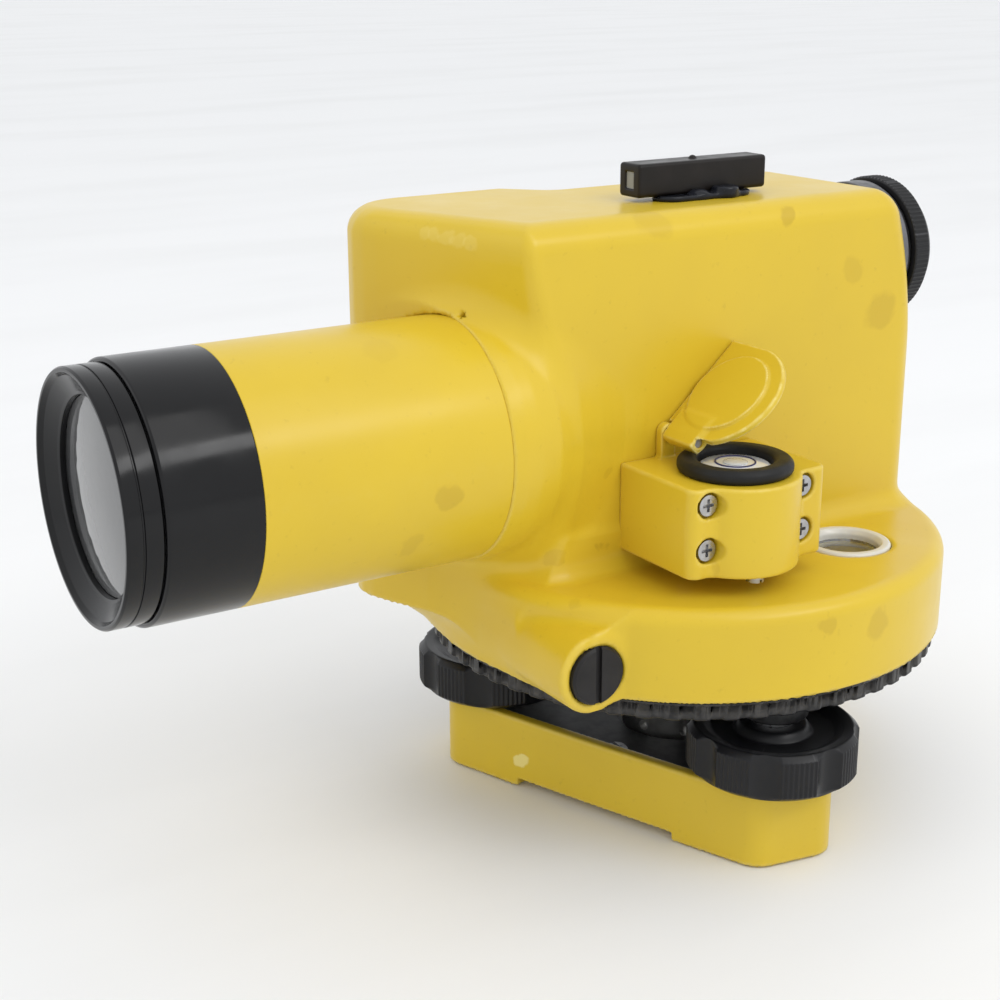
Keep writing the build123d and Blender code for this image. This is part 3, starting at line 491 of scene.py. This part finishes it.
def casting_field(x, y, z):
    plan = polygon_field(x, y, BODY_PLAN)
    slant = (y - 64.0) * SLANT[0] + (z - 129.0) * SLANT[1]
    fall = np.clip(151.0 - z, 0, 28) * 0.27 * np.clip((x + 8.0) / 28.0, 0, 1)
    brow = (fall - 64.3 - FRONT_SLOPE * (BODY_NEAR - x) - y) * 0.92
    plan = round_meet(plan, brow, 3.0)
    body = round_meet(plan, z - BODY_TOP, 7.0)
    body = np.maximum(round_meet(body, slant, 6.0), 58.0 - z)
    radial = np.hypot(x, y)
    flange = np.maximum(round_meet(radial - FLANGE_R, z - FLANGE_TOP, 4.0), FLANGE_BOTTOM - z)
    worm = round_meet(np.hypot(y - WORM_Y, z - WORM_Z) - 10.0, np.abs(x + 1.2) - 46.2, 0.9)
    shelf = np.maximum(polygon_field(y, z, SHELF), band(x, 0.0, 45.0))
    fairing = np.maximum(polygon_field(y, z, FAIRING), band(x, -27.0, 20.0))
    low = round_join(round_join(flange, shelf, 2.5), worm, 2.0)
    low = round_join(low, fairing, 5.0)
    whole = round_join(body, low, 5.5)
    sight = np.hypot(x, z - TUBE_Z)
    flare = np.interp(y, [TUBE_SEAT, -70, -66, -60, -52, -44, -36],
                      [30.5, 31.1, 31.1, 30.2, 27.0, 22.0, 16.0])
    boss = np.maximum(sight - flare, band(y, TUBE_SEAT, -36))
    whole = round_join(whole, boss, 8.0)
    focus_pad = np.maximum(np.hypot(y - FOCUS_Y, z - FOCUS_Z) - 12.0, band(x, -48.0, -44.0))
    whole = round_join(whole, focus_pad, 1.5)
    whole = cut(whole, np.maximum(sight - TUBE_R - 0.1, y - TUBE_SEAT))
    well = np.maximum(radial - 65.6, z - 66.0)
    well = np.maximum(well, -np.maximum(radial - 22.0, 60.5 - z))
    collar = np.maximum(np.abs(radial - 51.2) - 1.2, 54.0 - z)
    whole = cut(whole, np.maximum(well, -collar))
    room = np.maximum(np.maximum(plan + WALL, band(z, 70.0, BODY_TOP - WALL)), slant + 3.9)
    whole = cut(whole, room)
    whole = cut(whole, np.maximum(sight - 26.5, band(y, -80, -60)))
    whole = cut(whole, np.maximum(sight - 18.0, band(y, -80, -40)))
    eye = np.hypot(x, z - EYE_Z)
    whole = cut(whole, np.maximum(eye - 20.2, 62.0 - y))
    whole = cut(whole, np.maximum(eye - 18.7, band(y, 50, 90)))
    window = np.hypot(x - WINDOW_X, y - WINDOW_Y)
    whole = cut(whole, np.maximum(window - 11.8, band(z, 69, 90)), 0.4)
    whole = cut(whole, np.maximum(window - 8.4, band(z, 40, 90)))
    whole = cut(whole, np.maximum(np.hypot(y - FOCUS_Y, z - FOCUS_Z) - 2.56, x + 30))
    bore = np.hypot(y - WORM_Y, z - WORM_Z)
    whole = cut(whole, bore - 3.66)
    whole = cut(whole, np.maximum(bore - 7.4, 42.6 - x), 0.25)
    cover = np.maximum(np.maximum(np.abs(y - COVER_Y) - 21, np.abs(z - COVER_Z) - 24), x + 31)
    whole = cut(whole, cover)
    down = (y + 72.6) * 0.77 + (z - 138.4) * 0.64
    out = (z - 138.4) * 0.77 - (y + 72.6) * 0.64
    return cut(whole, np.maximum(np.hypot(x - 5, down) - 0.9, np.abs(out) - 5), 0.15)


casting = net("casting", casting_field, (-71, -94, 47.5), (71, 71, 161), 0.8)
casting_paint = painted("casting_paint", BODY_SMUDGES, BODY_WORN, 0.12)
place(casting, "instrument", ["housing"], casting_paint)

# ---------------------------------------------------------------- base
half_end = (BASE_SIDE - BASE_END * math.cos(math.pi / 3)) / math.sin(math.pi / 3)
base_corners = []
for angle in SCREW_ANGLES:
    c, s = math.cos(angle), math.sin(angle)
    for side in (-half_end, half_end):
        base_corners.append((BASE_END * c - side * s, BASE_END * s + side * c))
base_outline = []
for k in range(3):
    a, b = Vector(base_corners[2 * k + 1]), Vector(base_corners[(2 * k + 2) % 6])
    out = (a + b).normalized()
    base_outline += [(base_corners[2 * k], 7.2), (tuple(a), 7.2)]
    for t in (0.25, 0.5, 0.75):
        base_outline.append((tuple(a.lerp(b, t) + out * 2.8 * t * (1 - t)), 0.0))
BASE_PLAN = rounded(base_outline)


def base_field(x, y, z):
    plan = polygon_field(x, y, BASE_PLAN)
    whole = np.maximum(round_meet(plan, z - BASE_HEIGHT, 0.8), 0.0 - z)
    whole = cut(whole, np.maximum(plan + 3.6, 12.0 - z), 0.7)
    for angle in SCREW_ANGLES:
        c, s = math.cos(angle + math.pi / 3), math.sin(angle + math.pi / 3)
        notch = np.maximum(np.abs(x * c + y * s - 27.2) - 20, np.abs(y * c - x * s) - 25)
        whole = cut(whole, np.maximum(notch, z - 2.2), 0.4)
    for sx, sy in SCREW_POINTS:
        whole = cut(whole, np.maximum(np.hypot(x - sx, y - sy) - 5.5, 1.8 - z))
    return cut(whole, np.hypot(x, y) - 13.0)


foot = net("foot_casting", base_field, (-66, -66, 0.0), (66, 66, 21), 0.7)
place(foot, "base", ["base_plate"], painted("foot_paint", (), BASE_CHIPS))
# painted shade: the recess faces inside the rim, whose walls are yellow paint, take the black steel look
# where the knobs shade the tray
foot.data.materials.append(LOOKS["black_steel"])
centres = np.array([p.center[:] for p in foot.data.polygons]) / MM
painted_shade_recess = polygon_field(centres[:, 0], centres[:, 1], BASE_PLAN) < -3.2
painted_shade_recess &= (centres[:, 2] > 11.5) & (centres[:, 2] < 19.8)
foot.data.polygons.foreach_set("material_index", painted_shade_recess.astype(np.int32))


# ---------------------------------------------------------------- knobs and grips
def fluted(count, radius, flute_r, depth, ridges, ridge_depth, turn=0.0):
    """Rim of a grip: round flutes with finely ridged lands between them."""
    reach = radius - depth + flute_r
    half_flute = math.acos((radius ** 2 + reach ** 2 - flute_r ** 2) / (2 * radius * reach))
    pitch = 2 * math.pi / count

    def rim(angles):
        local = (angles - turn + pitch / 2) % pitch - pitch / 2
        in_flute = np.abs(local) < half_flute
        across = np.where(in_flute, local, 0)
        hollow = reach * np.cos(across) - np.sqrt(np.maximum(flute_r ** 2 - (reach * np.sin(across)) ** 2, 0))
        along_land = (np.abs(local) - half_flute) / (pitch / 2 - half_flute)
        ridge = 0.5 - 0.5 * np.cos(2 * math.pi * along_land * ridges / 2)
        return np.where(in_flute, hollow, radius - ridge_depth * ridge)

    def ripple(angles, along, ring):
        return np.minimum(ring, rim(angles)) if ring > radius - depth - 1.5 else np.full(len(angles), ring)
    return ripple


KNOB_PROFILE = [(21.2, 5.1), (21.2, 19.6), (23.0, 22.0), (32.2, 22.0), (33.9, 20.2), (33.4, 17.8),
                (32.2, 15.5), (31.8, 10.0), (33.2, 9.2), (34.2, 8.4), (34.2, 5.1)]
FOCUS_PROFILE = [(-64, 2.5), (-64, 13.6), (-62.8, 15), (-49.6, 15), (-48.5, 14), (-48.5, 2.5)]
TANGENT_PROFILE = [(-60, 3.6), (-60, 7.6), (-59.2, 8.5), (-48.8, 8.5), (-48, 7.8), (-48, 3.6)]
knob_look = blackened("knob_black", (0.008, 0.008, 0.009), 0.34, edge=(0.07, 0.07, 0.075))
for letter, centre, angle in zip("abc", SCREW_POINTS, SCREW_ANGLES):
    knob = turned(f"footscrew_grip_{letter}", KNOB_PROFILE, "z", centre, 8 * 72, 0.5,
                  fluted(8, 22.0, 6.65, 1.8, 7, 0.28))
    place(knob, f"footscrew_{letter}", [f"footscrew_knob_{letter}"], knob_look)

focus_grip = turned("focus_grip", FOCUS_PROFILE, "x", (FOCUS_Y, FOCUS_Z), 24 * 24, 0.4,
                    fluted(24, 15.0, 1.8, 0.8, 0, 0.0))
place(focus_grip, "focus_drive", ["focus_knob"], knob_look)
tangent_grip = turned("tangent_grip", TANGENT_PROFILE, "x", (WORM_Y, WORM_Z), 16 * 24, 0.3,
                      fluted(16, 8.5, 1.6, 0.7, 0, 0.0))
place(tangent_grip, "tangent_drive", ["tangent_knob"], knob_look)

# ---------------------------------------------------------------- horizontal circle's hand ring
NOTCHES = 60
NOTCH_TOP = 47.5


def grip_notches(angles, along, ring):
    pitch = 2 * math.pi / NOTCHES
    local = np.abs((angles + pitch / 2) % pitch - pitch / 2) * ring
    share = np.clip((1.85 - local) / 0.25, 0, 1)
    return ring - 0.75 * share if along < NOTCH_TOP and ring > 67.4 else np.full(len(angles), ring)


RING_PROFILE = [(43.5, 63.5), (43.5, 68.3), (43.9, 68.7),
                (NOTCH_TOP - 0.01, 68.7, 0.0), (NOTCH_TOP + 0.01, 68.7, 0.0), (48.2, 68.7),
                (48.2, 65.2), (51.2, 65.2), (51.2, 36.1), (50, 36.1), (50, 63.5)]
hand_ring = turned("hand_ring", RING_PROFILE, "z", (0, 0), NOTCHES * 16, 0.2, grip_notches)
ring_black = blackened("ring_black", (0.008, 0.008, 0.0085), 0.34, edge=(0.07, 0.066, 0.062), depth=0.002)
place(hand_ring, "circle", ["circle_ring"], ring_black)

# ---------------------------------------------------------------- telescope
TUBE_PROFILE = [(BARREL_SEAT, 26.5), (BARREL_SEAT, TUBE_R), (TUBE_SEAT, TUBE_R), (TUBE_SEAT, 26.4),
                (-60.2, 26.4), (-60.2, 24), (-76, 24), (-76, 26.5)]
BARREL_PROFILE = [(-158.6, 28.5), (-158.6, 29.9), (-158.1, TUBE_R), (BARREL_SEAT, TUBE_R),
                  (BARREL_SEAT, 26.5), (-147, 26.5), (-147, 24.1), (-156.3, 24.1), (-156.3, 28.5)]
tube = turned("tube_sleeve", TUBE_PROFILE, "y", (0, TUBE_Z), 192, 0.25)
place(tube, "instrument", ["telescope_tube"], painted("tube_paint", TUBE_SMUDGES, (), 0.0))
turned_black = blackened("turned_black", (0.004, 0.004, 0.0045), 0.16, (1, 9, 1), (0.05, 0.05, 0.05), 0.002)
barrel = turned("objective_sleeve", BARREL_PROFILE, "y", (0, TUBE_Z), 192, 0.25)
place(barrel, "instrument", ["objective_barrel"], turned_black)
lip = [(-167.1, 28.2), (-167.1, 29.0), (-166.6, 29.4), (-163.5, 29.4), (-163.4, 29.05), (-163.0, 29.05),
       (-162.9, 29.4), (-159.0, 29.4), (-159.0, 28.4), (-156.5, 28.4), (-156.5, 24.1), (-160.6, 24.1),
       (-161.2, 22.8), (-163.6, 22.8), (-163.9, 23.6), (-165.9, 27.4)]
front = turned("front_bezel", lip, "y", (0, TUBE_Z), 192, 0.12)
place(front, "instrument", ["front_ring"], turned_black)



def painted_reflection_glass():
    """Front lens: dark opaque coated glass whose colour holds painted reflections: broad soft lighter
    blotches and a paler side towards +x.
    """
    look = Look("painted_reflection_glass", (0.08, 0.08, 0.08), 0.05,
                Coat_Weight=0.4, Coat_Roughness=0.02, Specular_IOR_Level=0.4)
    # painted reflection: broad soft lighter blotches mixed into the lens colour
    painted_reflection_blotches = look.spread(look.noise(26, 2, (1, 1, 0.35)), 0.35, 0.7)
    # painted reflection: the lens colour grows paler towards +x
    painted_reflection_side = look.spread(look.node("ShaderNodeSeparateXYZ", {0: look.where}).outputs[0], -0.02, 0.022)
    painted_reflection_tone = look.mix(painted_reflection_blotches, (0.045, 0.046, 0.048), (0.12, 0.12, 0.118))
    look.paint(look.mix(look.times(painted_reflection_side, 0.35), painted_reflection_tone, (0.32, 0.32, 0.32)))
    return look.material


DOME = [(-162.3 - 1.9 * (1 - (k / 8) ** 2), 22.7 * k / 8 + 0.02) for k in range(9)]
# the front lens is opaque; its reflections are painted into its colour
objective = turned("front_lens", [*DOME, (-160.9, 22.7), (-160.9, 0.02)], "y", (0, TUBE_Z), 128, 0.1,
                   closed=False)
place(objective, "instrument", [], painted_reflection_glass())

# ---------------------------------------------------------------- eyepiece
bush = turned("eyepiece_collar", [(54.2, 12.4), (54.2, 18.6), (60.4, 18.6), (62.2, 17.6), (62.2, 12.4)],
              "y", (0, EYE_Z), 160, 0.3)
place(bush, "instrument", ["eyepiece_bush"], LOOKS["grey_metal"])
DIOPTRE_PROFILE = [(62.5, 12.4), (62.5, 19.0), (63.1, 19.7), (66.9, 19.7), (67.5, 19.2), (67.5, 12.4)]
dioptre = turned("dioptre_grip", DIOPTRE_PROFILE, "y", (0, EYE_Z), 96 * 8, 0.2,
                 fluted(96, 19.7, 0.9, 0.42, 0, 0.0))
place(dioptre, "dioptre", ["dioptre_ring"], knob_look)
cup = turned("eye_cup", [(67.5, 13.9), (67.5, 18.2), (68.6, 18.1), (69.9, 17.2), (71.5, 15.2), (71.5, 13.9)],
             "y", (0, EYE_Z), 128, 0.4)
place(cup, "dioptre", ["eyecup"], LOOKS["black_plastic"])

# ---------------------------------------------------------------- circular level
BRACKET_PLAN = rounded([((10, -37), 0), ((BRACKET_FACE, -37), 3.0), ((BRACKET_FACE, 5), 3.0), ((10, 5), 0)])


def bracket_field(x, y, z):
    drum = np.hypot(x - VIAL_X - 1.6, y - VIAL_Y + 0.4) - DRUM_R
    plan = round_join(polygon_field(x, y, BRACKET_PLAN), drum, 1.5)
    height = np.abs(z - (BRACKET_TOP + BRACKET_BOTTOM) / 2) - (BRACKET_TOP - BRACKET_BOTTOM) / 2
    whole = round_meet(plan, height, 0.7)
    lug = np.minimum(np.maximum(np.abs(y - MIRROR_Y) - 2.2, band(z, 90, MIRROR_Z)),
                     np.hypot(y - MIRROR_Y, z - MIRROR_Z) - 2.2)
    whole = round_join(whole, round_meet(lug, band(x, 21.7, 24.3), 0.3), 0.6)
    whole = np.maximum(whole, BODY_NEAR + 0.05 - x)
    whole = cut(whole, np.maximum(np.hypot(x - VIAL_X, y - VIAL_Y) - 12.5, 84.4 - z), 0.3)
    for row_y in BRACKET_SCREW_Y:
        for row_z in BRACKET_SCREW_Z:
            hole = np.hypot(y - row_y, z - row_z)
            whole = cut(whole, np.maximum(hole - 3.3, BRACKET_FACE - 2.6 - x), 0.3)
            whole = cut(whole, hole - 1.6)
    for k in range(3):
        a = math.radians(-10 + 120 * k)
        hole = np.hypot(x - VIAL_X - 11.6 * math.cos(a), y - VIAL_Y - 11.6 * math.sin(a)) - 1.3
        whole = cut(whole, np.maximum(hole, z - 86))
    return cut(whole, np.hypot(y - MIRROR_Y, z - MIRROR_Z) - 1.2)


bracket = net("level_bracket", bracket_field, (21, -38, 76.5), (60, 6.5, 109), 0.5)
place(bracket, "instrument", ["vial_bracket"],
      painted("bracket_paint", [(51, -30, 79, 3.0, 0.25), (30, -8, 99.5, 5.0, 0.2)]))


def lid_field(x, y, z):
    c, s = math.cos(MIRROR_TILT), math.sin(MIRROR_TILT)
    v = (y - MIRROR_Y) * c + (z - MIRROR_Z) * s
    w = (z - MIRROR_Z) * c - (y - MIRROR_Y) * s
    disc = np.hypot(x - MIRROR_ROUND_X, v - MIRROR_ROUND_R) - MIRROR_ROUND_R
    plate = np.minimum(disc, np.maximum(band(x, 22.0, MIRROR_ROUND_X), band(v, 0.0, 29.6)))
    whole = round_meet(np.maximum(plate, 22.0 - x), np.abs(w) - 0.9, 0.45)
    pad = round_meet(np.hypot(x - 34.0, v - MIRROR_ROUND_R) - 11.4, band(w, 0.0, 1.7), 0.4)
    whole = round_join(whole, pad, 0.3)
    hinge = band(x, HINGE_START, HINGE_END)
    hood = round_meet(np.maximum(hinge, band(v, -2.2, 6.0)), band(w, -2.0, 1.5), 0.4)
    whole = round_join(whole, hood, 2.0)
    knuckle = np.maximum(round_meet(np.hypot(v, w) - 2.2, hinge, 0.3), w - 1.5)
    whole = round_join(whole, knuckle, 0.5)
    whole = cut(whole, np.maximum(band(x, 21.0, 24.5), np.abs(v) - 2.8))
    return cut(whole, np.hypot(v, w) - 1.26)


lid = net("mirror_lid", lid_field, (21.5, -28, 102.5), (50, 1.5, 129), 0.4)
place(lid, "mirror_cover", ["mirror_plate"], painted("lid_paint", rubbed=0.8))

GASKET_PROFILE = [(90, 9.3), (90, 12.4), (99.6, 12.4), (99.6, 13.9), (100.4, 14.3), (101.8, 14.3),
                  (103.0, 13.2), (103.0, 10.6), (102.3, 9.3)]
rubber_ring = turned("level_gasket", GASKET_PROFILE, "z", (VIAL_X, VIAL_Y), 128, 0.7)
place(rubber_ring, "instrument", ["vial_ring"], LOOKS["black_rubber"])
vial = turned("bubble_vial", [(90, 0.02), (90, 9.2), (100.4, 9.2), (101.0, 8.4), (101.5, 5.0), (101.7, 0.02)],
              "z", (VIAL_X, VIAL_Y), 96, 0.4, closed=False)
place(vial, "instrument", ["vial_glass"], glassy("vial_fluid", (0.92, 0.95, 1.0), 0.04, 0.15, 1.45, 1.0))
mark = turned("level_mark", [(101.35, 4.7), (101.75, 4.7), (101.75, 5.1), (101.35, 5.1)],
              "z", (VIAL_X, VIAL_Y), 96, 0.1)
place(mark, "instrument", [], plastic("mark_ink", (0.03, 0.03, 0.10), 0.4))
bubble = turned("level_bubble", [(101.3, 0.02), (101.3, 2.6), (101.75, 3.2), (102.05, 2.2), (102.15, 0.02)],
                "z", (VIAL_X + 0.6, VIAL_Y - 0.5), 64, 0.5, closed=False)
place(bubble, "instrument", [], glassy("bubble_air", (0.95, 0.97, 1.0), 0.03, 0.5, 1.2, 1.0))

# ---------------------------------------------------------------- circle reading window
plug = turned("window_rim", [(69, 8.5), (69, 11.6), (72.0, 11.6), (72.5, 11.1), (72.5, 9.4), (71.2, 8.5)],
              "z", (WINDOW_X, WINDOW_Y), 128, 0.4)
clear_plastic = glassy("clear_plastic", (0.97, 0.96, 0.90), 0.18, 0.3, 1.49)
place(plug, "instrument", ["circle_window_bezel"], clear_plastic)


# ---------------------------------------------------------------- open sight
def bar_field(x, y, z):
    section = round_meet(np.abs(x) - 4.3, np.abs(z - SIGHT_Z) - 4.2, 1.0)
    whole = round_meet(section, band(y, SIGHT_FRONT, SIGHT_REAR), 0.6)
    recess = np.maximum(np.abs(x) - 1.7, np.abs(z - SIGHT_Z) - 2.1)
    whole = cut(whole, np.maximum(recess, y + 19.3), 0.15)
    bead = np.sqrt(x ** 2 + y ** 2 + (z - 169.3) ** 2) - 1.15
    return round_join(whole, bead, 0.2)


bar = net("sight_rail", bar_field, (-5, -21, 160.5), (5, 22, 170.6), 0.4)
place(bar, "instrument", ["sight_bar"], plastic("rail_plastic", (0.009, 0.007, 0.006), 0.34))


def clip_field(x, y, z):
    along = np.clip(y, -9.0, 10.0)
    plate = np.hypot((x - 3.4) * 1.1, y - along) - 5.2
    whole = round_meet(plate, band(z, 160.0, 161.4), 0.5)
    boss = round_meet(np.hypot(x - 6.0, y - 6.0) - 3.6, band(z, 160.0, 162.9), 0.7)
    whole = round_join(whole, boss, 1.0)
    neck = round_meet(np.hypot(x - 5.2, y + 2.0) - 2.2, band(z, 160.0, 162.4), 0.9)
    return np.maximum(round_join(whole, neck, 1.6), -round_meet(np.abs(x) - 4.5, 161.1 - z, 0.1))


clip = net("sight_clip", clip_field, (-2, -15, 159.6), (10, 16, 163.6), 0.35)
clip_plastic = plastic("clip_plastic", (0.008, 0.009, 0.013), 0.2)
place(clip, "instrument", ["sight_foot"], clip_plastic)

# ---------------------------------------------------------------- studio
bpy.ops.mesh.primitive_grid_add(x_subdivisions=2, y_subdivisions=2, size=60.0, location=(0, 0, -0.0004))
floor = bpy.context.object
floor.name = "floor"
paper = Look("floor_paper", (0.88, 0.88, 0.88), 0.6)
worn_share = paper.spread(paper.noise(140, 5, (1, 0.25, 1)), 0.45, 0.75, 0.0, 0.6)
paper.paint(paper.mix(worn_share, (0.89, 0.89, 0.89), (0.82, 0.82, 0.815)))
floor.data.materials.append(paper.material)

scene = bpy.context.scene
scene.view_settings.view_transform = "Standard"
scene.world = bpy.data.worlds.new("studio")
scene.world.use_nodes = True
sky = scene.world.node_tree.nodes["Background"]
sky.inputs["Color"].default_value = (0.965, 0.98, 1.0, 1)
sky.inputs["Strength"].default_value = 0.98


def softbox(name, where, target, size, power, colour=(1, 1, 1)):
    """Area light that faces a point."""
    light = bpy.data.lights.new(name, "AREA")
    light.shape = "RECTANGLE"
    light.size, light.size_y = size
    light.energy = power
    light.color = colour
    lamp = bpy.data.objects.new(name, light)
    lamp.location = where
    lamp.rotation_euler = (Vector(target) - Vector(where)).to_track_quat("-Z", "Y").to_euler()
    scene.collection.objects.link(lamp)


softbox("key", (0.75, 0.15, 1.35), (0, 0, 0.1), (0.8, 0.8), 2.4, (1, 0.99, 0.97))
softbox("window", (1.15, 0.42, 1.12), (0, -0.1, 0.1), (1.0, 0.3), 4.4)
softbox("front_fill", (-0.5, -1.3, 0.9), (0, -0.05, 0.1), (1.2, 0.5), 0.8)

# ---------------------------------------------------------------- camera
CAMERA_AT = (0.34904, -0.27663, 0.22088)
AZIMUTH, ELEVATION, ROLL = math.radians(58.015), math.radians(17.931), math.radians(0.26)
back = Vector((math.sin(AZIMUTH) * math.cos(ELEVATION), -math.cos(AZIMUTH) * math.cos(ELEVATION),
               math.sin(ELEVATION)))
right = Vector((math.cos(AZIMUTH), math.sin(AZIMUTH), 0))
up = back.cross(right)
rolled_right = right * math.cos(ROLL) - up * math.sin(ROLL)
rolled_up = right * math.sin(ROLL) + up * math.cos(ROLL)
camera = bpy.data.objects.new("camera", bpy.data.cameras.new("camera"))
camera.data.sensor_width = 36.0
camera.data.lens = 61.33
facing = Matrix((rolled_right, rolled_up, back)).transposed().to_4x4()
camera.matrix_world = Matrix.Translation(CAMERA_AT) @ facing
scene.collection.objects.link(camera)
scene.camera = camera
